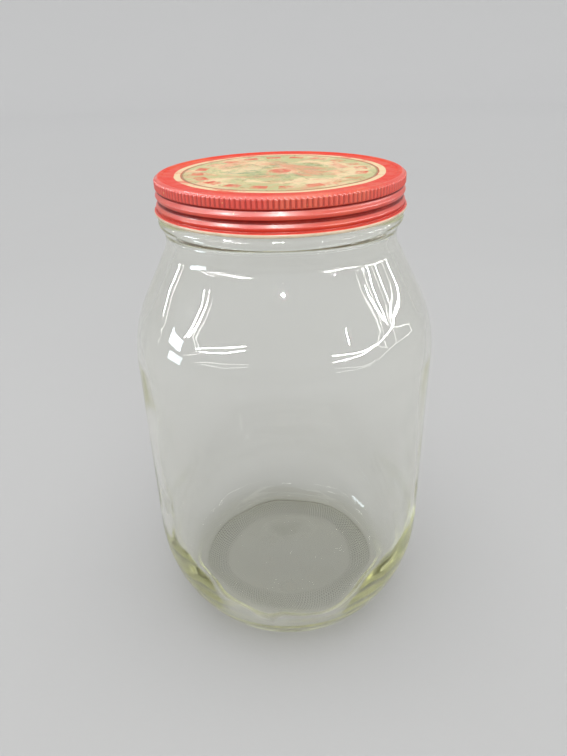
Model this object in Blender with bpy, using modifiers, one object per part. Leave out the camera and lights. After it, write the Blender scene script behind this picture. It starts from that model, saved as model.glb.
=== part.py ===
"""A one-pound coffee jar: a clear blown-glass jar with a screwed-on tinplate lid.

Metres, +Z up. The origin is the centre of the ring that the jar stands on.
"""

import math

import bmesh
import bpy

MM = 0.001

# The whole jar.
TOTAL_HEIGHT = 180.0 * MM  # from the table to the top of the lid
BODY_RADIUS = 56.4 * MM
WALL = 3.0 * MM  # glass of the upright sides
TURN_STEPS = 64  # facets round every turned surface

# Neck, where the shoulder ends under the lid.
NECK_RADIUS = 40.85 * MM  # narrowest place
NECK_HEIGHT = 159.2 * MM
BEAD_RADIUS = 42.8 * MM  # the carrying ring that shows under the lid
BEAD_HEIGHT = 165.5 * MM
BEAD_ROUND = 2.5 * MM  # radius of its section
MOUTH_RADIUS = 36.8 * MM
LIP_ROUND = 1.3 * MM

# Shoulder: a hollow round, a cone and a full round, each running into the next.
SHOULDER_SLOPE = math.radians(27.4)  # of the cone, from upright
SHOULDER_HOLLOW = 10.0 * MM
SHOULDER_END = 115.1 * MM  # height at which the side is upright

# Heel: a long round from the side, a tight one on to the ring it stands on.
HEEL_START = 38.9 * MM
HEEL_ROUND = 60.8 * MM
FOOT_ROUND = 6.0 * MM
RING_WIDTH = 6.0 * MM  # flat ring that touches the table
PUSH_UP = 3.4 * MM  # hollow under the base

# Inside of the glass.
FLOOR_HEIGHT = 6.5 * MM  # at the foot of the inner rounds
FLOOR_RISE = 1.6 * MM  # the floor follows the push-up
INNER_HEEL_START = 44.0 * MM
INNER_HEEL_ROUND = 70.0 * MM
INNER_FOOT_ROUND = 12.0 * MM
INNER_HOLLOW = 13.6 * MM

# Thread on the mouth.
THREAD_ROOT = 40.2 * MM  # radius of the plain mouth wall
THREAD_CREST = 41.2 * MM
THREAD_BOTTOM = 170.9 * MM  # middle of the ridge where it starts
THREAD_PITCH = 5.08 * MM  # five turns to the inch
THREAD_TURNS = 1.1
THREAD_FOOT = 1.25 * MM  # half the ridge's height at the wall
THREAD_TIP = 0.4 * MM  # half its height at the crest
THREAD_RUN_OUT = 0.08  # share of its length over which each end sinks in

# Lid: pressed tinplate with a knurled band, two beads and a rolled edge.
SHEET = 0.5 * MM
LID_HEIGHT = 11.9 * MM
LID_RADIUS = 42.25 * MM  # skirt behind the knurls
KNURL_RADIUS = 42.75 * MM
KNURL_COUNT = 165
KNURL_TOP = 0.85 * MM  # below the lid's top, like the heights that follow
KNURL_FOOT = 3.64 * MM
PANEL_RADIUS = 39.6 * MM  # sunk panel inside the lid's raised edge
PANEL_SINK = 0.35 * MM
EDGE_ROUND = 0.95 * MM
ROLL_RADIUS = 43.6 * MM
ROLL_ROUND = 0.72 * MM
GAP = 0.3 * MM  # clear space between glass and lid


def arc(centre, radius, start, end, steps):
    """Points of a round stretch in the (radius, height) plane, both ends included."""
    points = []
    for i in range(steps + 1):
        angle = start + (end - start) * i / steps
        r = centre[0] + radius * math.cos(angle)
        z = centre[1] + radius * math.sin(angle)
        points.append((r, z))
    return points


def shoulder(neck_radius, body_radius, hollow, steps):
    """Profile from the neck's narrowest place down to the upright side.

    The full round's radius follows from the drop and the widening that the
    hollow round and the cone leave for it.
    """
    slope = SHOULDER_SLOPE
    fall = NECK_HEIGHT - hollow * math.sin(slope) - SHOULDER_END
    widen = body_radius - neck_radius - hollow * (1 - math.cos(slope))
    rise_share = math.tan(slope) * math.sin(slope) - (1 - math.cos(slope))
    full = (fall * math.tan(slope) - widen) / rise_share
    hollow_centre = (neck_radius + hollow, NECK_HEIGHT)
    full_centre = (body_radius - full, SHOULDER_END)
    return arc(hollow_centre, hollow, math.pi, math.pi + slope, steps) + arc(
        full_centre, full, slope, 0, steps + 2
    )


def wave(start, end, steps):
    """Points of a swell that leaves one level and reaches the other flat."""
    points = []
    for i in range(steps + 1):
        share = i / steps
        r = start[0] + (end[0] - start[0]) * share
        rise = (1 - math.cos(math.pi * share)) / 2
        points.append((r, start[1] + (end[1] - start[1]) * rise))
    return points


def outer_profile():
    """The glass from the lip down its outer side to the middle of the base."""
    lip_top = TOTAL_HEIGHT - PANEL_SINK - SHEET - GAP
    points = arc(
        (THREAD_ROOT - LIP_ROUND, lip_top - LIP_ROUND), LIP_ROUND, math.pi / 2, 0, 3
    )
    bead_centre = (BEAD_RADIUS - BEAD_ROUND, BEAD_HEIGHT)
    # The hollow under the bead touches both the bead's round and the neck.
    sideways = NECK_RADIUS - bead_centre[0]
    drop = BEAD_HEIGHT - NECK_HEIGHT
    under = (sideways**2 + drop**2 - BEAD_ROUND**2) / (2 * (BEAD_ROUND - sideways))
    under_centre = (NECK_RADIUS + under, NECK_HEIGHT)
    turn = math.atan2(-drop, under + sideways)
    bead_start = math.acos((THREAD_ROOT + 0.15 * MM - bead_centre[0]) / BEAD_ROUND)
    points += arc(bead_centre, BEAD_ROUND, bead_start, turn, 6)
    points += arc(under_centre, under, math.pi + turn, math.pi, 3)[1:-1]
    points += shoulder(NECK_RADIUS, BODY_RADIUS, SHOULDER_HOLLOW, 3)
    # The foot's round meets the heel's where both slope alike.
    heel_centre = (BODY_RADIUS - HEEL_ROUND, HEEL_START)
    meet = math.asin((HEEL_START - FOOT_ROUND) / (HEEL_ROUND - FOOT_ROUND))
    foot_r = heel_centre[0] + (HEEL_ROUND - FOOT_ROUND) * math.cos(meet)
    points += arc(heel_centre, HEEL_ROUND, 0, -meet, 6)
    points += arc((foot_r, FOOT_ROUND), FOOT_ROUND, -meet, -math.pi / 2, 4)[1:]
    ring_inner = foot_r - RING_WIDTH
    return points + wave((ring_inner, 0), (0, PUSH_UP), 4)


def inner_profile():
    """The glass from the middle of the floor up its inner side to the lip."""
    inner = BODY_RADIUS - WALL
    lip_top = TOTAL_HEIGHT - PANEL_SINK - SHEET - GAP
    # The foot's round meets the heel's where both slope alike, as outside.
    heel_centre = (inner - INNER_HEEL_ROUND, INNER_HEEL_START)
    closer = INNER_HEEL_ROUND - INNER_FOOT_ROUND
    foot_z = FLOOR_HEIGHT + INNER_FOOT_ROUND
    meet = math.asin((INNER_HEEL_START - foot_z) / closer)
    foot_r = heel_centre[0] + closer * math.cos(meet)
    points = wave((0, FLOOR_HEIGHT + FLOOR_RISE), (foot_r, FLOOR_HEIGHT), 3)
    points += arc((foot_r, foot_z), INNER_FOOT_ROUND, -math.pi / 2, -meet, 4)[1:]
    points += arc(heel_centre, INNER_HEEL_ROUND, -meet, 0, 4)[1:]
    points += reversed(shoulder(MOUTH_RADIUS, inner, INNER_HOLLOW, 3))
    lip_centre = (MOUTH_RADIUS + LIP_ROUND, lip_top - LIP_ROUND)
    points += arc(lip_centre, LIP_ROUND, math.pi, math.pi / 2, 3)
    return points


def lid_profile():
    """The sheet from the middle of the panel down the skirt, round the rolled
    edge and back up inside. Heights are below the lid's top."""
    edge_centre = (LID_RADIUS - EDGE_ROUND, -EDGE_ROUND)
    outer = [(0, -PANEL_SINK), (PANEL_RADIUS, -PANEL_SINK)]
    outer.append((PANEL_RADIUS + PANEL_SINK * 2, 0))
    outer += arc(edge_centre, EDGE_ROUND, math.pi / 2, 0, 3)
    # Two beads pressed out of the skirt, with a deeper groove between them.
    outer += bead(4.35 * MM, 6.2 * MM, LID_RADIUS + 0.3 * MM)
    outer += bead(7.85 * MM, 9.5 * MM, LID_RADIUS + 0.45 * MM)
    roll_centre = (ROLL_RADIUS - ROLL_ROUND, ROLL_ROUND - LID_HEIGHT)
    outer += arc(roll_centre, ROLL_ROUND, math.radians(125), -math.pi / 2, 5)
    wall = LID_RADIUS - SHEET
    inner = [(wall, -LID_HEIGHT + 0.25 * MM)]
    inner.append((wall, -EDGE_ROUND - SHEET))
    inner.append((wall - EDGE_ROUND, -PANEL_SINK - SHEET))
    inner.append((0, -PANEL_SINK - SHEET))
    return outer + inner


def bead(top, foot, radius):
    """Four points of a rounded ring pressed out of the skirt."""
    ease = (foot - top) * 0.3
    return [
        (LID_RADIUS - 0.05 * MM, -top),
        (radius, -top - ease),
        (radius, -foot + ease),
        (LID_RADIUS - 0.05 * MM, -foot),
    ]


def turned(name, profile, height, collection):
    """An object whose profile a Screw modifier turns round Z."""
    mesh = bpy.data.meshes.new(name)
    edges = [(i, i + 1) for i in range(len(profile) - 1)]
    mesh.from_pydata([(r, 0, z) for r, z in profile], edges, [])
    part = bpy.data.objects.new(name, mesh)
    part.location = (0, 0, height)
    collection.objects.link(part)
    screw = part.modifiers.new("turn", "SCREW")
    screw.axis = "Z"
    screw.steps = TURN_STEPS
    screw.render_steps = TURN_STEPS
    screw.use_merge_vertices = True
    screw.merge_threshold = 0.00001
    screw.use_smooth_shade = True
    return part


def helper(name, mesh_maker, height, collection):
    """A closed solid that a Boolean joins to a part. It isn't part of the object."""
    mesh = bpy.data.meshes.new(name)
    solid = bmesh.new()
    mesh_maker(solid)
    bmesh.ops.recalc_face_normals(solid, faces=solid.faces)
    solid.to_mesh(mesh)
    solid.free()
    item = bpy.data.objects.new(name, mesh)
    item.location = (0, 0, height)
    item.hide_render = True
    item.display_type = "WIRE"
    collection.objects.link(item)
    return item


def join(part, other):
    """Part and other become one body."""
    union = part.modifiers.new("join_" + other.name, "BOOLEAN")
    union.operation = "UNION"
    union.solver = "EXACT"
    union.object = other


def thread_ridge(solid):
    """A loft along the thread's helix whose ends sink into the mouth's wall."""
    stations = round(THREAD_TURNS * TURN_STEPS * 0.75)
    root = THREAD_ROOT - 0.5 * MM  # inside the wall, so that the union is sound
    rings = []
    for i in range(stations + 1):
        share = i / stations
        angle = share * THREAD_TURNS * math.tau
        z = THREAD_BOTTOM + share * THREAD_TURNS * THREAD_PITCH
        swell = min(1, share / THREAD_RUN_OUT, (1 - share) / THREAD_RUN_OUT)
        crest = THREAD_ROOT - 0.25 * MM + (THREAD_CREST - THREAD_ROOT + 0.25 * MM) * swell
        section = (
            (root, z + THREAD_FOOT),
            (root, z - THREAD_FOOT),
            (crest, z - THREAD_TIP),
            (crest, z + THREAD_TIP),
        )
        ring = []
        for r, height in section:
            place = (r * math.cos(angle), r * math.sin(angle), height)
            ring.append(solid.verts.new(place))
        rings.append(ring)
    for here, there in zip(rings, rings[1:]):
        for a in range(4):
            b = (a + 1) % 4
            solid.faces.new((here[a], here[b], there[b], there[a]))
    solid.faces.new(rings[0])
    solid.faces.new(rings[-1])


def knurl_ring(solid):
    """A ring with one rib for each knurl, from inside the sheet outwards."""
    bore = LID_RADIUS - SHEET / 2
    valley = LID_RADIUS + 0.05 * MM
    levels = (-KNURL_FOOT, -KNURL_TOP)
    outside = [[], []]
    inside = [[], []]
    for side, z in enumerate(levels):
        for i in range(KNURL_COUNT * 2):
            r = valley if i % 2 else KNURL_RADIUS
            angle = math.pi * i / KNURL_COUNT
            place = (r * math.cos(angle), r * math.sin(angle), z)
            outside[side].append(solid.verts.new(place))
        for i in range(TURN_STEPS):
            angle = math.tau * i / TURN_STEPS
            place = (bore * math.cos(angle), bore * math.sin(angle), z)
            inside[side].append(solid.verts.new(place))
    for low, high in (outside, inside):
        for i in range(len(low)):
            j = (i + 1) % len(low)
            solid.faces.new((low[i], low[j], high[j], high[i]))
    for side in (0, 1):
        rims = []
        for loop in (outside[side], inside[side]):
            for i in range(len(loop)):
                pair = (loop[i], loop[(i + 1) % len(loop)])
                rims.append(solid.edges.get(pair))
        bmesh.ops.triangle_fill(solid, use_beauty=False, edges=rims)


def material(name, colour, roughness, metallic, transmission=0.0):
    """A Principled surface."""
    made = bpy.data.materials.new(name)
    made.use_nodes = True
    shader = made.node_tree.nodes["Principled BSDF"]
    shader.inputs["Base Color"].default_value = (*colour, 1)
    shader.inputs["Roughness"].default_value = roughness
    shader.inputs["Metallic"].default_value = metallic
    shader.inputs["Transmission Weight"].default_value = transmission
    return made


for old in list(bpy.data.objects):
    bpy.data.objects.remove(old)

coffee_jar = bpy.data.collections.new("coffee_jar")
helpers = bpy.data.collections.new("helpers")
bpy.context.scene.collection.children.link(coffee_jar)
bpy.context.scene.collection.children.link(helpers)

jar = turned("jar", inner_profile() + outer_profile(), 0, coffee_jar)
join(jar, helper("thread", thread_ridge, 0, helpers))
jar.data.materials.append(material("clear_glass", (0.93, 0.95, 0.88), 0.02, 0, 1))

lid = turned("lid", lid_profile(), TOTAL_HEIGHT, coffee_jar)
join(lid, helper("knurls", knurl_ring, TOTAL_HEIGHT, helpers))
lid.data.materials.append(material("red_enamel", (0.60, 0.06, 0.05), 0.35, 0.3))
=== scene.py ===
import math

import bpy
from mathutils import Matrix, Vector, noise


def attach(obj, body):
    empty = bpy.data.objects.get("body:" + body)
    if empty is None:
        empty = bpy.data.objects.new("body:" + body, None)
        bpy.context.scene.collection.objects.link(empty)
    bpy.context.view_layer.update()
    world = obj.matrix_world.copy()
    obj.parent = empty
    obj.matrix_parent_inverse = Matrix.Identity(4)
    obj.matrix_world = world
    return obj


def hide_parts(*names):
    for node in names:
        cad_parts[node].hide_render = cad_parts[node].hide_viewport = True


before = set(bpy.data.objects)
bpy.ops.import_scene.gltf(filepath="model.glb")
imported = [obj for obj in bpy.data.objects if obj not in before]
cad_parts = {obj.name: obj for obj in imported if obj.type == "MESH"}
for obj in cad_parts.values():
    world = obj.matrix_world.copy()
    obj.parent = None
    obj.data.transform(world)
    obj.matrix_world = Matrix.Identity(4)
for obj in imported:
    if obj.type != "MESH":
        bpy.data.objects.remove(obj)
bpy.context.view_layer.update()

# ---------------------------------------------------------------------------
# The jar is one piece of clear glass, blown in a mould: its outside is true and
# its inside wanders a little. Iron in the sand turns the thick heel yellow-green.
# It stands on a stippled ring, and a one-turn thread on its mouth holds the lid.
# ---------------------------------------------------------------------------
MM = 0.001
TOTAL_HEIGHT = 180.0 * MM
BODY_RADIUS = 56.4 * MM
WALL = 3.0 * MM  # thickness of the upright side
NECK_RADIUS = 40.85 * MM
NECK_HEIGHT = 159.2 * MM
CARRY_RADIUS = 42.8 * MM  # the ring under the lid
CARRY_HEIGHT = 165.5 * MM
CARRY_ROUND = 2.5 * MM
CARRY_START = 0.05 * MM  # how far out of the mouth's wall its round begins
MOUTH_RADIUS = 36.8 * MM
LIP_ROUND = 1.3 * MM
LIP_TOP = 178.85 * MM
SHOULDER_SLOPE = math.radians(27.4)
SHOULDER_HOLLOW = 10.0 * MM  # the round that turns the neck out into the shoulder
SHOULDER_END = 115.1 * MM
HEEL_START = 38.9 * MM
HEEL_ROUND = 60.8 * MM
FOOT_ROUND = 6.0 * MM
RING_WIDTH = 6.0 * MM  # of the flat ring it stands on
PUSH_UP = 3.4 * MM  # how far the base goes up inside that ring
FLOOR_HEIGHT = 6.5 * MM
FLOOR_RISE = 1.6 * MM
INNER_HEEL_START = 44.0 * MM
INNER_HEEL_ROUND = 70.0 * MM
INNER_FOOT_ROUND = 12.0 * MM
INNER_HOLLOW = 13.6 * MM  # the same round on the inside
THREAD_ROOT = 40.2 * MM
THREAD_CREST = 41.2 * MM
THREAD_BOTTOM = 170.9 * MM
THREAD_PITCH = 5.08 * MM
THREAD_TURNS = 1.1
THREAD_FOOT = 1.25 * MM  # half its width at the wall
THREAD_TIP = 0.4 * MM  # and at its crest
THREAD_RUN_OUT = 0.08  # share of its length over which each end fades
GLASS_AROUND = 240  # points round the glass
PUSH_RINGS = 44
PUSH_SPACING = 1.3  # above 1, they lie closer together towards the stippled ring
FLOOR_RINGS = 11
STIPPLE_AROUND = 720  # points round the stippled ring
STIPPLE_COUNT = 180  # dots in one of its circles
STIPPLE_PITCH = 1.2 * MM  # from circle to circle
STIPPLE_DEPTH = 0.35 * MM
STIPPLE_INNER = 27.0 * MM
STIPPLE_OUTER = 40.2 * MM
STIPPLE_FADE = 1.5 * MM  # the dots get shallower over this much at both edges


def arc(centre, radius, start, end, steps):
    """Points of a round stretch of a profile, both ends included."""
    points = []
    for i in range(steps + 1):
        angle = start + (end - start) * i / steps
        r = centre[0] + radius * math.cos(angle)
        z = centre[1] + radius * math.sin(angle)
        points.append((r, z))
    return points


def straight(start, end, steps):
    """Points between two ends, neither end included."""
    points = []
    for i in range(1, steps):
        share = i / steps
        points.append(tuple(a + (b - a) * share for a, b in zip(start, end)))
    return points


def shoulder(neck_radius, body_radius, hollow, steps):
    """From the neck's narrowest place down to the upright side: a hollow, a straight
    slope and a great round that takes up what is left of the height."""
    slope = SHOULDER_SLOPE
    fall = NECK_HEIGHT - hollow * math.sin(slope) - SHOULDER_END
    widen = body_radius - neck_radius - hollow * (1 - math.cos(slope))
    rise_share = math.tan(slope) * math.sin(slope) - (1 - math.cos(slope))
    great = (fall * math.tan(slope) - widen) / rise_share
    upper = arc((neck_radius + hollow, NECK_HEIGHT), hollow, math.pi, math.pi + slope, steps // 2)
    lower = arc((body_radius - great, SHOULDER_END), great, slope, 0, steps)
    return upper + straight(upper[-1], lower[0], steps // 4) + lower


def glass_outside():
    """Profile of the glass from its lip down the outside to the stippled ring."""
    lip_centre = (THREAD_ROOT - LIP_ROUND, LIP_TOP - LIP_ROUND)
    points = arc(lip_centre, LIP_ROUND, math.pi / 2, 0, steps=6)
    carry_centre = (CARRY_RADIUS - CARRY_ROUND, CARRY_HEIGHT)
    sideways = NECK_RADIUS - carry_centre[0]
    drop = CARRY_HEIGHT - NECK_HEIGHT
    under = (sideways**2 + drop**2 - CARRY_ROUND**2) / (2 * (CARRY_ROUND - sideways))
    turn = math.atan2(-drop, under + sideways)
    start = math.acos((THREAD_ROOT + CARRY_START - carry_centre[0]) / CARRY_ROUND)
    carry = arc(carry_centre, CARRY_ROUND, start, turn, steps=16)
    points += straight(points[-1], carry[0], steps=30) + carry
    neck_centre = (NECK_RADIUS + under, NECK_HEIGHT)
    points += arc(neck_centre, under, math.pi + turn, math.pi, steps=8)[1:-1]
    points += shoulder(NECK_RADIUS, BODY_RADIUS, SHOULDER_HOLLOW, steps=26)
    heel_centre = (BODY_RADIUS - HEEL_ROUND, HEEL_START)
    meet = math.asin((HEEL_START - FOOT_ROUND) / (HEEL_ROUND - FOOT_ROUND))
    foot_r = heel_centre[0] + (HEEL_ROUND - FOOT_ROUND) * math.cos(meet)
    heel = arc(heel_centre, HEEL_ROUND, 0, -meet, steps=20)
    points += straight(points[-1], heel[0], steps=16) + heel
    points += arc((foot_r, FOOT_ROUND), FOOT_ROUND, -meet, -math.pi / 2, steps=18)[1:]
    return points


def glass_underside(foot_r):
    """Profile from the stippled ring to the middle of the pushed-up base."""
    ring_inner = foot_r - RING_WIDTH
    points = straight((foot_r, 0), (ring_inner, 0), steps=20)
    points.append((ring_inner, 0))
    for i in range(1, PUSH_RINGS):
        share = (i / PUSH_RINGS) ** PUSH_SPACING
        rise = PUSH_UP * (1 - math.cos(math.pi * share)) / 2
        points.append((ring_inner * (1 - share), rise))
    return points


def glass_inside():
    """Profile from the middle of the floor up the inside to the lip."""
    inner = BODY_RADIUS - WALL
    heel_centre = (inner - INNER_HEEL_ROUND, INNER_HEEL_START)
    closer = INNER_HEEL_ROUND - INNER_FOOT_ROUND
    meet = math.asin((INNER_HEEL_START - FLOOR_HEIGHT - INNER_FOOT_ROUND) / closer)
    foot_centre = (heel_centre[0] + closer * math.cos(meet), FLOOR_HEIGHT + INNER_FOOT_ROUND)
    points = []
    for i in range(1, FLOOR_RINGS):
        share = i / FLOOR_RINGS
        sag = FLOOR_RISE * (1 + math.cos(math.pi * share)) / 2
        points.append((foot_centre[0] * share, FLOOR_HEIGHT + sag))
    points += arc(foot_centre, INNER_FOOT_ROUND, -math.pi / 2, -meet, steps=18)
    points += arc(heel_centre, INNER_HEEL_ROUND, -meet, 0, steps=20)[1:]
    wall = shoulder(MOUTH_RADIUS, inner, INNER_HOLLOW, steps=22)
    wall.reverse()
    points += straight(points[-1], wall[0], steps=20) + wall
    lip_centre = (MOUTH_RADIUS + LIP_ROUND, LIP_TOP - LIP_ROUND)
    lip = arc(lip_centre, LIP_ROUND, math.pi, math.pi / 2, steps=6)
    points += straight(wall[-1], lip[0], steps=6) + lip[:-1]
    return points


def clamp(share):
    """The share, kept from 0 to 1."""
    return min(1.0, max(0.0, share))


def thread_swell(angle, z):
    """How far the thread stands out of the mouth's wall at this place."""
    swell = 0.0
    for turn in range(math.ceil(THREAD_TURNS)):
        share = (angle / math.tau + turn) / THREAD_TURNS
        if share > 1:
            continue
        end = min(1.0, share / THREAD_RUN_OUT, (1 - share) / THREAD_RUN_OUT)
        middle = THREAD_BOTTOM + share * THREAD_TURNS * THREAD_PITCH
        off = abs(z - middle)
        flank = clamp((THREAD_FOOT - off) / (THREAD_FOOT - THREAD_TIP))
        swell = max(swell, (THREAD_CREST - THREAD_ROOT) * flank * end)
    return swell


UPRIGHT_SWELLS = 0.7  # under 1, swells are taller than they are wide


def wander(angle, z, size, seed):
    """Smooth unevenness between -1 and 1, in swells about this wide. Each seed gives
    other swells, taken from another corner of the noise."""
    x, y = BODY_RADIUS * math.cos(angle), BODY_RADIUS * math.sin(angle)
    place = Vector((x, y, z * UPRIGHT_SWELLS))
    return noise.noise(place / size + Vector((seed, seed * 0.37, seed * 1.7)))


def ring(radius, height, around, shift=None):
    """A ring of points; shift gives what each adds to its radius and height."""
    points = []
    for i in range(around):
        angle = math.tau * i / around
        r, z = radius, height
        if shift:
            more_r, more_z = shift(angle)
            r, z = r + more_r, z + more_z
        points.append((r * math.cos(angle), r * math.sin(angle), z))
    return points


def loft(name, rings):
    """A mesh whose skin runs from ring to ring. A ring of one point closes an end,
    and a ring may have a whole number of times as many points as its neighbour."""
    points = []
    faces = []
    firsts = []
    for points_of_ring in rings:
        firsts.append(len(points))
        points.extend(points_of_ring)
    for a in range(len(rings) - 1):
        n, m = len(rings[a]), len(rings[a + 1])
        here, there = firsts[a], firsts[a + 1]
        if n == 1:
            faces += [(here, there + i, there + (i + 1) % m) for i in range(m)]
        elif m == 1:
            faces += [(here + i, there, here + (i + 1) % n) for i in range(n)]
        elif n <= m:
            k = m // n
            for i in range(n):
                fan = [there + (i * k + j) % m for j in range(k + 1)]
                faces.append([here + i] + fan + [here + (i + 1) % n])
        else:
            k = n // m
            for i in range(m):
                fan = [here + (i * k + j) % n for j in range(k, -1, -1)]
                faces.append([there + i, there + (i + 1) % m] + fan)
    mesh = bpy.data.meshes.new(name)
    mesh.from_pydata(points, [], faces)
    mesh.polygons.foreach_set("use_smooth", [True] * len(mesh.polygons))
    made = bpy.data.objects.new(name, mesh)
    bpy.context.scene.collection.objects.link(made)
    return made


INSIDE_SWELLS = (  # width, share and seed of the broad, the middling and the fine ones
    (26 * MM, 1.0, 21.7),
    (13 * MM, 0.35, 12.9),
    (8 * MM, 0.15, 3.3),
)
INSIDE_DEPTH = 0.30 * MM
HEEL_DEPTH = 0.12 * MM  # what the thick heel adds to it
HEEL_TOP = 70 * MM
DEPTH_FADE = 30 * MM  # both depths come in over this much height
FLOOR_EDGE = 34 * MM  # the unevenness turns from sideways to upright inside this
FLOOR_FADE = 8 * MM
FLOOR_SHARE = 0.5
FLOOR_MIDDLE = 24 * MM  # and it dies out from here to the middle
OUTSIDE_DEPTH = 0.05 * MM
OUTSIDE_SWELL = 22 * MM
OUTSIDE_SEED = 5.7
MOUTH_FOOT = CARRY_HEIGHT + 2 * MM  # the mouth's own wall stands from here up


def inside_shift(r, z):
    """The inside wanders, most on the thick heel, least at the mouth."""
    calm = clamp((NECK_HEIGHT - z) / DEPTH_FADE)
    low = clamp((HEEL_TOP - z) / DEPTH_FADE)
    depth = (INSIDE_DEPTH + HEEL_DEPTH * low) * calm
    floor = clamp((FLOOR_EDGE - r) / FLOOR_FADE)
    sink = FLOOR_SHARE * floor * clamp(r / FLOOR_MIDDLE)

    def shift(angle):
        swell = 0.0
        for size, share, seed in INSIDE_SWELLS:
            swell += share * wander(angle, z, size, seed)
        return depth * swell * (1 - floor), depth * swell * sink

    return shift


def outside_shift(z):
    """The mould leaves the outside nearly true; the mouth carries the thread."""

    def shift(angle):
        if z <= MOUTH_FOOT:
            return -OUTSIDE_DEPTH * (1 + wander(angle, z, OUTSIDE_SWELL, OUTSIDE_SEED)), 0.0
        if z < LIP_TOP - LIP_ROUND:
            return thread_swell(angle, z), 0.0
        return 0.0, 0.0

    return shift


def stipple_shift(r):
    """Dots in staggered circles; the glass between them is a little higher up."""
    depth = STIPPLE_DEPTH * min(1.0, (r - STIPPLE_INNER) / STIPPLE_FADE)
    depth *= min(1.0, (STIPPLE_OUTER - r) / STIPPLE_FADE)

    def shift(angle):
        row = (r - STIPPLE_INNER) / STIPPLE_PITCH / 2
        around = angle / math.tau * STIPPLE_COUNT
        one_way = 1 + math.cos(math.tau * (around + row))
        other_way = 1 + math.cos(math.tau * (around - row))
        return 0.0, depth * (1 - one_way * other_way / 4)

    return shift


jar_rings = [[(0, 0, FLOOR_HEIGHT + FLOOR_RISE)]]
for r, z in glass_inside():
    jar_rings.append(ring(r, z, GLASS_AROUND, inside_shift(r, z)))
outside = glass_outside()
for r, z in outside:
    if r < STIPPLE_OUTER and z < FOOT_ROUND:
        jar_rings.append(ring(r, z, STIPPLE_AROUND, stipple_shift(r)))
    else:
        jar_rings.append(ring(r, z, GLASS_AROUND, outside_shift(z)))
for r, z in glass_underside(outside[-1][0]):
    if r > STIPPLE_INNER:
        jar_rings.append(ring(r, z, STIPPLE_AROUND, stipple_shift(r)))
    else:
        jar_rings.append(ring(r, z, GLASS_AROUND))
jar_rings.append([(0, 0, PUSH_UP)])
glass_jar = loft("glass_jar", jar_rings)


def add(tree, kind, links=None, **values):
    """A node of this kind. Links gives sockets a source or a value, and values gives
    the node its own choices."""
    made = tree.nodes.new(kind)
    for name, value in values.items():
        setattr(made, name, value)
    for socket, source in (links or {}).items():
        if isinstance(source, bpy.types.NodeSocket):
            tree.links.new(source, made.inputs[socket])
        else:
            made.inputs[socket].default_value = source
    return made


def new_finish(name):
    """A new material without nodes, and its tree."""
    made = bpy.data.materials.new(name)
    made.use_nodes = True
    made.node_tree.nodes.clear()
    return made, made.node_tree


def maths(tree, operation, a, b=0.5, c=0.5):
    """One Math node's result."""
    made = add(tree, "ShaderNodeMath", {0: a, 1: b, 2: c}, operation=operation)
    return made.outputs[0]


def polar(tree):
    """Place, distance from the upright axis in mm, angle round it, height in mm."""
    place = add(tree, "ShaderNodeTexCoord").outputs["Object"]
    parts = add(tree, "ShaderNodeSeparateXYZ", {0: place})
    flat = add(tree, "ShaderNodeCombineXYZ", {0: parts.outputs[0], 1: parts.outputs[1]})
    reach = add(tree, "ShaderNodeVectorMath", {0: flat.outputs[0]}, operation="LENGTH")
    radius = maths(tree, "DIVIDE", reach.outputs["Value"], MM)
    angle = maths(tree, "ARCTAN2", parts.outputs[1], parts.outputs[0])
    height = maths(tree, "DIVIDE", parts.outputs[2], MM)
    return place, radius, angle, height


def ramp(tree, value, low, high, start=0.0, end=1.0):
    """Value from low to high becomes start to end, and no further."""
    made = add(
        tree,
        "ShaderNodeMapRange",
        {"Value": value, "From Min": low, "From Max": high, "To Min": start, "To Max": end},
    )
    made.interpolation_type = "SMOOTHSTEP"
    return made.outputs["Result"]


def between(tree, value, low, high, soft):
    """1 where value lies between low and high, with soft ends."""
    rise = ramp(tree, value, low - soft, low + soft)
    fall = ramp(tree, value, high - soft, high + soft, 1.0, 0.0)
    return maths(tree, "MULTIPLY", rise, fall)


def blotch(tree, place, scale, detail=5.0, roughness=0.6, distortion=0.0):
    """Cloudy noise from 0 to 1 at this many blotches a metre."""
    made = add(
        tree,
        "ShaderNodeTexNoise",
        {
            "Vector": place,
            "Scale": scale,
            "Detail": detail,
            "Roughness": roughness,
            "Distortion": distortion,
        },
    )
    return made.outputs["Fac"]


def paint(tree, under, over, cover):
    """The colour over laid on the colour under, as thickly as cover says."""
    made = add(tree, "ShaderNodeMix", data_type="RGBA")
    for socket, source in ((0, cover), (6, under), (7, over)):
        if isinstance(source, bpy.types.NodeSocket):
            tree.links.new(source, made.inputs[socket])
        else:
            made.inputs[socket].default_value = source
    return made.outputs[2]


GLASS_TINT = (0.993, 0.995, 0.989, 1)
# the colour the dots of the stippled ring are darkened towards, low on the base
STIPPLE_DARK = (0.46, 0.465, 0.45, 1)
SHADOW_TINT = (0.985, 0.987, 0.982, 1)
THICK_TINT = (0.74, 0.75, 0.30, 1)
THICK_DENSITY = 12.0
HAZE = 0.035  # roughness where it was wiped
GLASS_IOR = 1.52
DARK_INNER = STIPPLE_INNER / MM + 1  # mm; the dots are darkened less at the ring's edges
DARK_OUTER = STIPPLE_OUTER / MM - 1
DARK_SOFT = 2.0
DARK_TOP = (1.6, 2.6)  # mm up; the darkening thins out between these


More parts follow.
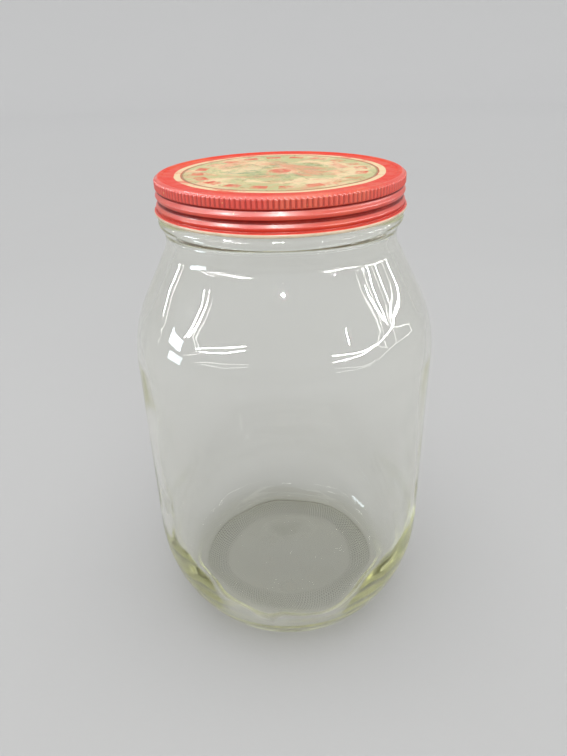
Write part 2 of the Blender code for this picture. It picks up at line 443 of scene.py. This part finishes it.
def stipple_darkening(tree):
    """How much darker the glass is made here, on the dots of the stippled ring."""
    _, radius, angle, height = polar(tree)
    row = maths(tree, "SUBTRACT", radius, STIPPLE_INNER / MM)
    row = maths(tree, "DIVIDE", row, 2 * STIPPLE_PITCH / MM)
    around = maths(tree, "MULTIPLY", angle, STIPPLE_COUNT / math.tau)
    dots = []
    for way in ("ADD", "SUBTRACT"):
        turn = maths(tree, "MULTIPLY", maths(tree, way, around, row), math.tau)
        dots.append(maths(tree, "MULTIPLY_ADD", maths(tree, "COSINE", turn), 0.5, 0.5))
    dot = ramp(tree, maths(tree, "MULTIPLY", dots[0], dots[1]), 0.15, 0.55)
    on_ring = between(tree, radius, DARK_INNER, DARK_OUTER, DARK_SOFT)
    low = ramp(tree, height, *DARK_TOP, 1.0, 0.0)
    return maths(tree, "MULTIPLY", dot, maths(tree, "MULTIPLY", on_ring, low))


def clear_glass():
    """Clear glass that tints light by its depth, with faint wiping marks."""
    made, tree = new_finish("clear_glass")
    place = add(tree, "ShaderNodeTexCoord").outputs["Object"]
    wiped = blotch(tree, place, scale=38.0, detail=4.0, roughness=0.5, distortion=1.6)
    smudge = ramp(tree, wiped, 0.52, 0.78, 0.0, HAZE)
    # The base colour is darkened on the dots of the stippled ring.
    glass = add(
        tree,
        "ShaderNodeBsdfPrincipled",
        {
            "Base Color": paint(tree, GLASS_TINT, STIPPLE_DARK, stipple_darkening(tree)),
            "Roughness": smudge,
            "IOR": GLASS_IOR,
            "Transmission Weight": 1.0,
        },
    )
    passing = add(tree, "ShaderNodeBsdfTransparent", {"Color": SHADOW_TINT})
    ray = add(tree, "ShaderNodeLightPath")
    surface = add(
        tree,
        "ShaderNodeMixShader",
        {0: ray.outputs["Is Shadow Ray"], 1: glass.outputs[0], 2: passing.outputs[0]},
    )
    depth = add(
        tree, "ShaderNodeVolumeAbsorption", {"Color": THICK_TINT, "Density": THICK_DENSITY}
    )
    add(
        tree,
        "ShaderNodeOutputMaterial",
        {"Surface": surface.outputs[0], "Volume": depth.outputs[0]},
    )
    return made


glass_jar.data.materials.append(clear_glass())
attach(glass_jar, "root")
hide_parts("jar")

# ---------------------------------------------------------------------------
# The lid is one pressing of thin tinplate, printed and stoved red before it was
# drawn: a sunk panel, a knurled grip, two beads, and a rolled edge that shows
# the pale lacquer of the sheet's inside. It screws on to the mouth of the jar.
# ---------------------------------------------------------------------------
LID_RADIUS = 42.25 * MM
LID_HEIGHT = 11.9 * MM
SHEET = 0.5 * MM
KNURL_RADIUS = 42.75 * MM
KNURL_COUNT = 165
KNURL_TOP = 0.85 * MM
KNURL_CUT = 0.18 * MM  # how far the valleys go in
KNURL_FOOT = 3.64 * MM
KNURL_CREST = 0.8  # under 1, crests are fuller and valleys sharper
KNURL_LEAD = 0.45 * MM  # the ribs rise out of the edge from this much above their top
KNURL_LEAD_IN = 0.6 * MM
KNURL_TAIL = 0.1 * MM  # and are gone this much below their foot
KNURL_TAIL_OUT = 0.3 * MM
PANEL_RADIUS = 39.6 * MM
PANEL_SINK = 0.35 * MM
PANEL_DENT = 0.10 * MM
PANEL_DENT_WIDTH = 17 * MM
PANEL_DISH = 0.6  # the dents all lie lower by this share of their depth
PANEL_MIDDLE = 0.06 * MM  # the sag of its very middle
PANEL_FIRM = 6 * MM  # the dents fade out over this much towards its edge
EDGE_ROUND = 0.95 * MM
ROLL_RADIUS = 43.6 * MM
ROLL_ROUND = 0.72 * MM
ROLL_START = 10.5 * MM  # the red ends here and the pale roll begins
ROLL_OPENS = math.radians(125)
CURL = 0.4 * MM  # the roll's inner round
UPPER_BEAD = (4.50 * MM, 7.10 * MM, 0.54 * MM)  # top, foot, how far it stands out
LOWER_BEAD = (8.00 * MM, 10.35 * MM, 0.54 * MM)
GROOVES = ((3.72 * MM, 4.60 * MM, 0.16 * MM), (6.8 * MM, 8.2 * MM, 0.40 * MM))
GROOVE_FLAT = 1.5  # above 1, a groove's bottom is flat
THIN = 0.28 * MM  # the real sheet, where it is drawn into beads
WALL_FOOT = 1.2 * MM  # the inside wall ends this much above the lid's foot
LID_AROUND = 2 * KNURL_COUNT  # points round the lid
KNURL_AROUND = 8 * KNURL_COUNT  # and round its knurls
PANEL_RINGS = 33
PANEL_RIM_RINGS = 5
KNURL_RINGS = 14
SKIRT_RINGS = 44
INSIDE_RINGS = 20


def ease(share):
    """Rises smoothly from 0 to 1."""
    share = clamp(share)
    return share * share * (3 - 2 * share)


def nearness(depth, top, foot):
    """1 midway between top and foot, 0 at both, and less beyond them."""
    return 1 - abs(depth - (top + foot) / 2) / ((foot - top) / 2)


def skirt(depth):
    """Radius of the lid's skirt at this depth below its top."""
    out = 0.0
    for top, foot, height in (UPPER_BEAD, LOWER_BEAD):
        out += height * ease(nearness(depth, top, foot))
    for top, foot, height in GROOVES:
        out -= height * ease(nearness(depth, top, foot) * GROOVE_FLAT)
    return LID_RADIUS + out


def knurl_shift(depth):
    """Ribs with round crests and sharper valleys, fading out at both ends."""
    length = ease((depth - KNURL_TOP + KNURL_LEAD) / KNURL_LEAD_IN)
    length *= ease((KNURL_FOOT + KNURL_TAIL - depth) / KNURL_TAIL_OUT)

    def shift(angle):
        wave = abs(math.cos(angle * KNURL_COUNT / 2))
        rib = wave**KNURL_CREST * (KNURL_RADIUS - LID_RADIUS + KNURL_CUT) - KNURL_CUT
        return rib * length, 0.0

    return shift


def panel_shift(r):
    """The panel isn't dead flat: it is faintly dished and dented."""

    def shift(angle):
        place = Vector((r * math.cos(angle), r * math.sin(angle), 0)) / PANEL_DENT_WIDTH
        sink = PANEL_DENT * (noise.noise(place) - PANEL_DISH)
        return 0.0, sink * ease((PANEL_RADIUS - r) / PANEL_FIRM)

    return shift


lid_rings = [[(0, 0, TOTAL_HEIGHT - PANEL_SINK - PANEL_MIDDLE)]]
for i in range(1, PANEL_RINGS + 1):
    r = PANEL_RADIUS * i / PANEL_RINGS
    lid_rings.append(ring(r, TOTAL_HEIGHT - PANEL_SINK, LID_AROUND, panel_shift(r)))
for i in range(1, PANEL_RIM_RINGS + 1):
    share = i / PANEL_RIM_RINGS
    r = PANEL_RADIUS + 2 * PANEL_SINK * share
    lid_rings.append(ring(r, TOTAL_HEIGHT - PANEL_SINK * (1 - ease(share)), LID_AROUND))
edge_centre = (LID_RADIUS - EDGE_ROUND, TOTAL_HEIGHT - EDGE_ROUND)
for r, z in arc(edge_centre, EDGE_ROUND, math.pi / 2, 0, steps=12):
    lid_rings.append(ring(r, z, KNURL_AROUND, knurl_shift(TOTAL_HEIGHT - z)))
knurls_end = KNURL_FOOT + 0.15 * MM
for i in range(1, KNURL_RINGS + 1):
    depth = EDGE_ROUND + (knurls_end - EDGE_ROUND) * i / KNURL_RINGS
    lid_rings.append(ring(LID_RADIUS, TOTAL_HEIGHT - depth, KNURL_AROUND, knurl_shift(depth)))
roll_centre = (ROLL_RADIUS - ROLL_ROUND, TOTAL_HEIGHT - LID_HEIGHT + ROLL_ROUND)
roll = arc(roll_centre, ROLL_ROUND, ROLL_OPENS, -math.pi / 2, steps=14)
skirt_top = KNURL_FOOT + 0.3 * MM
skirt_foot = TOTAL_HEIGHT - roll[0][1]
for i in range(SKIRT_RINGS):
    depth = skirt_top + (skirt_foot - skirt_top) * i / SKIRT_RINGS
    lid_rings.append(ring(skirt(depth), TOTAL_HEIGHT - depth, LID_AROUND))
for r, z in roll:
    lid_rings.append(ring(r, z, LID_AROUND))
inside_wall = LID_RADIUS - SHEET
under_panel = TOTAL_HEIGHT - PANEL_SINK - SHEET
curl_centre = (inside_wall + CURL, TOTAL_HEIGHT - LID_HEIGHT + CURL)
for r, z in arc(curl_centre, CURL, -math.pi / 2, -math.pi, steps=4):
    lid_rings.append(ring(r, z, LID_AROUND))
beads_top = UPPER_BEAD[0]
for i in range(INSIDE_RINGS, -1, -1):
    depth = beads_top + (LID_HEIGHT - WALL_FOOT - beads_top) * i / INSIDE_RINGS
    wall = min(inside_wall, skirt(depth) - THIN)
    lid_rings.append(ring(wall, TOTAL_HEIGHT - depth, LID_AROUND))
lid_rings.append(ring(inside_wall, TOTAL_HEIGHT - EDGE_ROUND - SHEET, LID_AROUND))
lid_rings.append(ring(inside_wall - EDGE_ROUND, under_panel, LID_AROUND))
lid_rings.append([(0, 0, under_panel)])
screw_lid = loft("screw_lid", lid_rings)

ENAMEL_RED = (0.85, 0.062, 0.032, 1)
# painted shade with some grime: the dark red laid into the lid's recesses
ENAMEL_SHADE_AND_DIRT = (0.22, 0.010, 0.007, 1)
ENAMEL_ORANGE = (0.88, 0.19, 0.075, 1)
ENAMEL_CHIP = (0.90, 0.48, 0.16, 1)
WORN_TIN = (0.66, 0.61, 0.58, 1)
PRINT_CREAM = (0.93, 0.72, 0.42, 1)
PRINT_SAGE = (0.60, 0.58, 0.28, 1)
PRINT_GREEN = (0.22, 0.32, 0.14, 1)
PRINT_BROWN = (0.34, 0.15, 0.07, 1)
PRINT_PINK = (0.86, 0.33, 0.19, 1)
PRINT_RED = (0.78, 0.115, 0.055, 1)
LACQUER_CREAM = (0.84, 0.66, 0.47, 1)
LACQUER_STAIN = (0.46, 0.36, 0.22, 1)
RELIEF_STRENGTH = 0.6


def coat(tree, colour, roughness, metal, relief, relief_depth, shine):
    """A painted surface made of these; shine is how strongly it mirrors."""
    bump = add(
        tree,
        "ShaderNodeBump",
        {"Height": relief, "Distance": relief_depth, "Strength": RELIEF_STRENGTH},
    )
    made = add(
        tree,
        "ShaderNodeBsdfPrincipled",
        {
            "Base Color": colour,
            "Roughness": roughness,
            "Metallic": metal,
            "Normal": bump.outputs[0],
            "Specular IOR Level": shine,
        },
    )
    add(tree, "ShaderNodeOutputMaterial", {"Surface": made.outputs[0]})


def stoved_red(tree, place):
    """The enamel's own red, faded towards orange and pecked with pale chips."""
    faded = ramp(tree, blotch(tree, place, scale=38), 0.46, 0.72, 0.0, 0.60)
    colour = paint(tree, ENAMEL_RED, ENAMEL_ORANGE, faded)
    pecks = blotch(tree, place, scale=420, detail=3.0, roughness=0.5)
    colour = paint(tree, colour, ENAMEL_CHIP, ramp(tree, pecks, 0.72, 0.76, 0.0, 0.8))
    rubs = blotch(tree, place, scale=230, detail=6.0, roughness=0.7, distortion=0.8)
    return paint(tree, colour, PRINT_PINK, ramp(tree, rubs, 0.60, 0.75, 0.0, 0.30))


# From and to in mm, and how soft the ends are: the first four are depths below the
# lid's top, the last is a distance from its middle.
# Painted shade darkens the enamel at the first four: under the knurls, in the groove, on the
# plain band and between the knurls; the groove and valleys also hold some grime.
SHADE_UNDER_KNURLS = (3.75, 4.4, 0.15)
SHADE_AND_DIRT_IN_GROOVE = (6.8, 8.1, 0.3)
SHADE_ON_PLAIN_BAND = (9.9, 11.2, 0.3)
SHADE_AND_DIRT_BETWEEN_KNURLS = (1.1, 3.7, 0.25)
WORN_RIM = (41.0, 42.3, 0.3)
WORN_RIM_DEPTH = (0.9, 0.3)  # mm below the top; the wear is full above the second
PLAIN_BAND_SHADE = 0.30
VALLEY_SHADE_AND_DIRT = 0.50
ENAMEL_RELIEF = 0.03 * MM


def red_enamel(name, shine):
    """Stoved red enamel: darker in the grooves and between the knurls with painted shade and
    grime, rubbed orange, worn to tin on the rim.
    """
    made, tree = new_finish(name)
    place, radius, angle, height = polar(tree)
    depth = maths(tree, "SUBTRACT", TOTAL_HEIGHT / MM, height)
    colour = stoved_red(tree, place)
    # Painted shade, with some grime in the groove and the knurl valleys, laid in as darker red.
    under_knurls = between(tree, depth, *SHADE_UNDER_KNURLS)
    groove = between(tree, depth, *SHADE_AND_DIRT_IN_GROOVE)
    plain_band = between(tree, depth, *SHADE_ON_PLAIN_BAND)
    plain_band = maths(tree, "MULTIPLY", plain_band, PLAIN_BAND_SHADE)
    shade_and_dirt = maths(tree, "MAXIMUM", under_knurls, maths(tree, "MAXIMUM", groove, plain_band))
    rib_turn = maths(tree, "MULTIPLY", angle, KNURL_COUNT / 2)
    rib = maths(tree, "ABSOLUTE", maths(tree, "COSINE", rib_turn))
    valley = ramp(tree, rib, 0.15, 0.95, VALLEY_SHADE_AND_DIRT, 0.0)
    valley = maths(tree, "MULTIPLY", valley, between(tree, depth, *SHADE_AND_DIRT_BETWEEN_KNURLS))
    shade_and_dirt = maths(tree, "MAXIMUM", shade_and_dirt, valley)
    patchy = ramp(tree, blotch(tree, place, scale=160), 0.25, 0.6, 0.75, 1.0)
    colour = paint(tree, colour, ENAMEL_SHADE_AND_DIRT, maths(tree, "MULTIPLY", shade_and_dirt, patchy))
    rim = between(tree, radius, *WORN_RIM)
    rim = maths(tree, "MULTIPLY", rim, ramp(tree, depth, *WORN_RIM_DEPTH))
    scuffs = blotch(tree, place, scale=60, detail=9.0, roughness=0.78)
    worn = maths(tree, "MULTIPLY", ramp(tree, scuffs, 0.60, 0.66), rim)
    colour = paint(tree, colour, WORN_TIN, worn)
    rough = ramp(tree, blotch(tree, place, scale=300, detail=6.0), 0.3, 0.8, 0.28, 0.42)
    relief = blotch(tree, place, scale=900, detail=4.0)
    metal = maths(tree, "MULTIPLY", worn, 0.8)
    coat(tree, colour, rough, metal, relief, ENAMEL_RELIEF, shine)
    return made


# Distances from the panel's middle in mm. A third number says how soft the ends are.
RING_INNER = 33.8
CREAM_RING = (RING_INNER, 36.0, 0.12)
BROWN_LINE = (RING_INNER - 1.0, RING_INNER - 0.1, 0.2)
FIELD_EDGE = (RING_INNER - 0.5, RING_INNER - 0.3)
BAR_BAND = (26.0, 30.0, 0.4)
LEAF_TAPER = (7, 23)
LEAF_ROOT = (6.0, 7.5)
BERRY_EDGE = (3.6, 4.2)
LEAF_COUNT = 8
BAR_COUNT = 20
PRINT_WOBBLE = 0.8
PRINT_SHINE = 0.15
PRINT_RELIEF = 0.04 * MM


def printed_panel():
    """The panel's print: a cream ring and a brown line round a cream and sage field,
    with green leaves and a broken red band, all rubbed and stained."""
    made, tree = new_finish("printed_panel")
    place, radius, angle, _ = polar(tree)
    wave = blotch(tree, place, scale=160, detail=4.0)
    wobble = maths(tree, "MULTIPLY_ADD", wave, PRINT_WOBBLE, -PRINT_WOBBLE / 2)
    radius = maths(tree, "ADD", radius, wobble)
    wear = blotch(tree, place, scale=75, detail=8.0, roughness=0.7)
    ring_on = between(tree, radius, *CREAM_RING)
    ring_on = maths(tree, "MULTIPLY", ring_on, ramp(tree, wear, 0.50, 0.64, 1.0, 0.25))
    colour = paint(tree, stoved_red(tree, place), PRINT_CREAM, ring_on)

    cloud = blotch(tree, place, scale=85, detail=8.0, roughness=0.70, distortion=0.6)
    field = paint(tree, PRINT_CREAM, PRINT_SAGE, ramp(tree, cloud, 0.42, 0.56))

    leaf_wave = maths(tree, "COSINE", maths(tree, "MULTIPLY", angle, LEAF_COUNT / 2))
    leaf_wave = maths(tree, "ABSOLUTE", leaf_wave)
    leaf_width = maths(tree, "SUBTRACT", leaf_wave, ramp(tree, radius, *LEAF_TAPER))
    leaf = ramp(tree, leaf_width, 0.06, 0.16)
    leaf = maths(tree, "MULTIPLY", leaf, ramp(tree, radius, *LEAF_ROOT))
    leaf_rubs = blotch(tree, place, scale=120, detail=8.0, roughness=0.75)
    leaf = maths(tree, "MULTIPLY", leaf, ramp(tree, leaf_rubs, 0.40, 0.58, 0.85, 0.1))
    field = paint(tree, field, PRINT_GREEN, leaf)
    moss = blotch(tree, place, scale=62, detail=7.0, roughness=0.72, distortion=0.4)
    field = paint(tree, field, PRINT_GREEN, ramp(tree, moss, 0.58, 0.66, 0.0, 0.65))

    bar_wave = maths(tree, "SINE", maths(tree, "MULTIPLY", angle, BAR_COUNT))
    bars = ramp(tree, bar_wave, -0.45, -0.2)
    bars = maths(tree, "MULTIPLY", bars, between(tree, radius, *BAR_BAND))
    berry = ramp(tree, radius, *BERRY_EDGE, 1.0, 0.0)
    marks = maths(tree, "MAXIMUM", bars, berry)
    mark_rubs = blotch(tree, place, scale=110, detail=7.0, roughness=0.74)
    kept = ramp(tree, mark_rubs, 0.40, 0.58, 0.05, 0.95)
    field = paint(tree, field, PRINT_RED, maths(tree, "MULTIPLY", marks, kept))

    stains = blotch(tree, place, scale=48, detail=7.0, roughness=0.72, distortion=0.8)
    field = paint(tree, field, PRINT_PINK, ramp(tree, stains, 0.46, 0.62, 0.0, 0.75))
    specks = blotch(tree, place, scale=400, detail=3.0, roughness=0.6)
    field = paint(tree, field, PRINT_BROWN, ramp(tree, specks, 0.60, 0.70, 0.0, 0.55))
    inside_ring = ramp(tree, radius, *FIELD_EDGE, 1.0, 0.0)
    colour = paint(tree, colour, field, inside_ring)
    line_on = between(tree, radius, *BROWN_LINE)
    colour = paint(tree, colour, PRINT_BROWN, maths(tree, "MULTIPLY", line_on, 0.7))
    rough = ramp(tree, blotch(tree, place, scale=260, detail=6.0), 0.3, 0.8, 0.34, 0.6)
    relief = blotch(tree, place, scale=700, detail=5.0)
    coat(tree, colour, rough, 0.0, relief, PRINT_RELIEF, PRINT_SHINE)
    return made


OVERRUN_DEPTH = (10.9, 10.6)  # mm below the top; red runs on to the roll down to here
OVERRUN_RADIUS = (42.0, 42.2)  # mm; and only on the outside
LACQUER_SHINE = 0.4
LACQUER_RELIEF = 0.02 * MM


def pale_lacquer():
    """Cream lacquer of the sheet's inside, stained along the rolled edge."""
    made, tree = new_finish("pale_lacquer")
    place, radius, _, height = polar(tree)
    depth = maths(tree, "SUBTRACT", TOTAL_HEIGHT / MM, height)
    stains = blotch(tree, place, scale=140, detail=6.0, roughness=0.7)
    colour = paint(tree, LACQUER_CREAM, LACQUER_STAIN, ramp(tree, stains, 0.45, 0.75, 0.0, 0.6))
    overrun = ramp(tree, depth, *OVERRUN_DEPTH)
    overrun = maths(tree, "MULTIPLY", overrun, ramp(tree, radius, *OVERRUN_RADIUS))
    colour = paint(tree, colour, ENAMEL_RED, overrun)
    rough = ramp(tree, blotch(tree, place, scale=300), 0.3, 0.8, 0.25, 0.42)
    relief = blotch(tree, place, scale=800)
    coat(tree, colour, rough, 0.0, relief, LACQUER_RELIEF, LACQUER_SHINE)
    return made


ENAMEL_SHINE = 0.95
# painted shade: the grooves get a low shine, as if shaded from reflections, as well as dulled by
# dirt
GRIMY_SHADED_SHINE = 0.12
GRIMY_SHADED_BANDS = ((3.75 * MM, 4.45 * MM), (6.95 * MM, 8.05 * MM))  # old dirt dulls the grooves here, and the low shine also stands in for the shade that keeps reflections out of them
screw_lid.data.materials.append(red_enamel("red_enamel", ENAMEL_SHINE))
screw_lid.data.materials.append(printed_panel())
screw_lid.data.materials.append(pale_lacquer())
screw_lid.data.materials.append(red_enamel("grimy_shaded_enamel", GRIMY_SHADED_SHINE))
PRINTED, LACQUERED, GRIMED_AND_SHADED = 1, 2, 3  # their places in that order
on_the_wall = inside_wall + 0.03 * MM
for face in screw_lid.data.polygons:
    reach = math.hypot(face.center.x, face.center.y)
    depth = TOTAL_HEIGHT - face.center.z
    if depth < SHEET and reach < LID_RADIUS - EDGE_ROUND:
        face.material_index = PRINTED
    elif depth > ROLL_START or (depth > SHEET and reach < on_the_wall):
        face.material_index = LACQUERED
    elif any(top < depth < foot for top, foot in GRIMY_SHADED_BANDS):
        face.material_index = GRIMED_AND_SHADED
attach(screw_lid, "root")
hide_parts("lid")

# ---------------------------------------------------------------------------
# The studio: a pale floor that runs up into a low wall all round, soft light from
# above, and a few narrow tubes and a window whose reflections show on the glass.
# ---------------------------------------------------------------------------
STAGE_RADIUS = 2.4
STAGE_CURVE = 1.0  # the round that turns the floor up into the wall
STAGE_CURVE_END = -0.2  # the angle where that round ends, just short of upright
STAGE_RINGS = 24
STAGE_AROUND = 96
STAGE_GREY = (0.55, 0.55, 0.545, 1)
STAGE_PALE = (0.58, 0.58, 0.575, 1)
FAR_PAINTED_PALE = (0.70, 0.70, 0.695, 1)
PALER_OUTWARDS = (400, 2600)  # mm out, over which the floor turns paler into the wall's colour: painted light making up for the light falling off away from the jar
STAGE_ROUGHNESS = 0.75
STAGE_RELIEF = 0.1 * MM
STAGE_SHINE = 0.1
floor_rings = [[(0, 0, 0)]]
for i in range(1, STAGE_RINGS + 1):
    floor_rings.append(ring(STAGE_RADIUS * i / STAGE_RINGS, 0, STAGE_AROUND))
wall_centre = (STAGE_RADIUS, STAGE_CURVE)
for r, z in arc(wall_centre, STAGE_CURVE, -math.pi / 2, STAGE_CURVE_END, steps=16)[1:]:
    floor_rings.append(ring(r, z, STAGE_AROUND))
studio_floor = loft("studio_floor", floor_rings)
floor_finish, tree = new_finish("pale_floor")
place, reach, _, _ = polar(tree)
floor_colour = paint(tree, STAGE_GREY, STAGE_PALE, blotch(tree, place, scale=3.0))
# Painted light: paler going out, to offset the light that falls off towards the wall.
floor_colour = paint(tree, floor_colour, FAR_PAINTED_PALE, ramp(tree, reach, *PALER_OUTWARDS))
floor_relief = blotch(tree, place, scale=400)
coat(tree, floor_colour, STAGE_ROUGHNESS, 0.0, floor_relief, STAGE_RELIEF, STAGE_SHINE)
studio_floor.data.materials.append(floor_finish)

TARGET = Vector((0, 0, 130 * MM))  # the jar's shoulder, where the lights point
FAR = 2.6


def towards(azimuth, elevation):
    """A place at the studio's edge. Azimuth turns from the front to the right."""
    a, e = math.radians(azimuth), math.radians(elevation)
    way = Vector((math.sin(a) * math.cos(e), -math.cos(a) * math.cos(e), math.sin(e)))
    return TARGET + way * FAR


def light(name, here, along, width, height, radiance, colour=(1, 1, 1)):
    """A flat light at here that faces the jar, its width laid along a direction."""
    lamp = bpy.data.lights.new(name, "AREA")
    lamp.shape = "RECTANGLE"
    lamp.size = width
    lamp.size_y = height
    lamp.energy = radiance * width * height * math.pi
    lamp.color = colour
    back = (here - TARGET).normalized()
    side = (along - back * along.dot(back)).normalized()
    made = bpy.data.objects.new(name, lamp)
    turn = Matrix((side, back.cross(side), back)).transposed().to_4x4()
    made.matrix_world = Matrix.Translation(here) @ turn
    bpy.context.scene.collection.objects.link(made)
    return made


UP = Vector((0, 0, 1))
ACROSS = Vector((1, 0, 0))
TUBE_RADIANCE = 90.0
TUBES = (  # name, thickness in degrees, then the azimuths and elevations it passes through
    ("left_side", 0.45, (-82.6, 13.4), (-76.3, 19.0), (-73.9, 21.4), (-75.6, 22.3)),
    ("left_inner_side", 0.45, (-79.3, 15.3), (-72.9, 19.8), (-69.5, 23.0), (-70.2, 23.8)),
    ("left_low", 0.6, (-69, 12), (-50, 20.5), (-30, 26.3)),
    ("left_lower", 0.6, (-65.3, 11.5), (-47.6, 16.7), (-30, 23.6)),
    ("far_left", 0.4, (-110.1, 6.1), (-113.9, 7.3), (-111.9, 10.2)),
    ("right_inner_side", 0.6, (86.2, 14.7), (80.3, 19.4), (79.0, 21.2)),
    ("right_side", 0.6, (88, 13.5), (87.2, 16.4), (86.2, 18.8), (89.9, 19.2)),
    ("right_outer_side", 0.4, (94.4, 12.0), (97.1, 12.0), (97.8, 13.8), (97.6, 15.7)),
    ("right_far", 0.4, (113.9, 9.3), (114.5, 7), (109.9, 7.4), (96.3, 11.2)),
    ("right_round", 0.5, (96.3, 11.2), (85.9, 11.3), (70.4, 9.5), (56.2, 8.8), (35, 10.9)),
    ("right_low", 0.6, (35.2, 16.2), (49, 13), (62, 10.3), (71, 10.7)),
)


def glint(name, here, along, width, height, radiance, colour=(1, 1, 1)):
    """A light that is only mirrored: it is out for every ray that has left a matt
    surface, so no glow falls on the floor under the jar."""
    made = light(name, here, along, width, height, radiance, colour)
    made.visible_diffuse = False
    lamp = made.data
    lamp.use_nodes = True
    tree = lamp.node_tree
    tree.nodes.clear()
    path = add(tree, "ShaderNodeLightPath")
    before_matt = add(
        tree, "ShaderNodeMath", {0: path.outputs["Diffuse Depth"], 1: 0.5}, operation="LESS_THAN"
    )
    glow = add(tree, "ShaderNodeEmission", {"Strength": before_matt.outputs[0]})
    add(tree, "ShaderNodeOutputLight", {"Surface": glow.outputs["Emission"]})


for name, thickness, *passes in TUBES:
    wide = FAR * math.radians(thickness)
    for i in range(len(passes) - 1):
        start, end = towards(*passes[i]), towards(*passes[i + 1])
        long = (end - start).length
        glint(f"{name}_{i}", (start + end) / 2, end - start, long, wide, TUBE_RADIANCE)

AWAY = Vector((0, 1, 0))
ASLANT = Vector((1, -1.6, 0))
WHITE = (1, 1, 1)
DAYLIGHT = (0.80, 0.90, 1)
WARM_WHITE = (1, 0.99, 0.97)
LAMPS = (  # name, azimuth and elevation, the way it lies, width, height, radiance, colour
    ("window", (-88, 7.5), UP, 0.36, 0.60, 22.0, DAYLIGHT),
    ("lamp_front", (0.3, 34.0), ACROSS, 0.08, 0.012, 4000, WHITE),
    ("lamp_high", (-2, 45), ACROSS, 0.50, 0.10, 230, WHITE),
    ("lamp_high_left", (-58, 42), ASLANT, 0.42, 0.10, 230, WHITE),
    ("lamp_far_left", (-104, 38), AWAY, 0.30, 0.10, 200, WHITE),
    ("lamp_right", (51, 22.4), UP, 0.20, 0.04, 150, WHITE),
)
for name, direction, along, width, height, radiance, colour in LAMPS:
    glint(name, towards(*direction), along, width, height, radiance, colour)

OVERHEAD_PLACE = Vector((0, -0.3, 2.6))
light("overhead", OVERHEAD_PLACE, ACROSS, width=2.4, height=2.0, radiance=1.7, colour=WARM_WHITE)
front_fill = light("front_fill", towards(8, 24), ACROSS, width=1.8, height=1.2, radiance=2.0)
front_fill.visible_glossy = False
front_fill.visible_transmission = False

SKY_COLOUR = (0.97, 0.98, 1.0, 1)
SKY_STRENGTH = 0.70
scene = bpy.context.scene
sky = bpy.data.worlds.new("studio")
sky.use_nodes = True
sky_glow = sky.node_tree.nodes["Background"]
sky_glow.inputs["Color"].default_value = SKY_COLOUR
sky_glow.inputs["Strength"].default_value = SKY_STRENGTH
scene.world = sky
scene.view_settings.view_transform = "Standard"
# Light turns back many times inside the glass before it gets out.
scene.cycles.max_bounces = 128
scene.cycles.glossy_bounces = 112
scene.cycles.transmission_bounces = 48
scene.cycles.transparent_max_bounces = 24

# ---------------------------------------------------------------------------
# The camera looks down on the jar from in front, a quarter of a metre from its
# middle, and is held a little askew.
# ---------------------------------------------------------------------------
EYE = Vector((0, -217.9 * MM, 217.0 * MM))
PITCH = math.radians(28.45)
YAW = math.radians(-0.17)
ROLL = math.radians(-1.57)
LENS = 29.14
SENSOR = 36
NEAREST = 0.01
across = math.cos(PITCH)
ahead = Vector((math.sin(YAW) * across, math.cos(YAW) * across, -math.sin(PITCH)))
level_right = ahead.cross(UP).normalized()
level_up = level_right.cross(ahead)
camera_right = level_right * math.cos(ROLL) + level_up * math.sin(ROLL)
camera_up = level_up * math.cos(ROLL) - level_right * math.sin(ROLL)
camera_data = bpy.data.cameras.new("camera")
camera_data.lens = LENS
camera_data.sensor_width = SENSOR
camera_data.sensor_fit = "AUTO"
camera_data.clip_start = NEAREST
camera = bpy.data.objects.new("camera", camera_data)
turn = Matrix((camera_right, camera_up, -ahead)).transposed().to_4x4()
camera.matrix_world = Matrix.Translation(EYE) @ turn
scene.collection.objects.link(camera)
scene.camera = camera
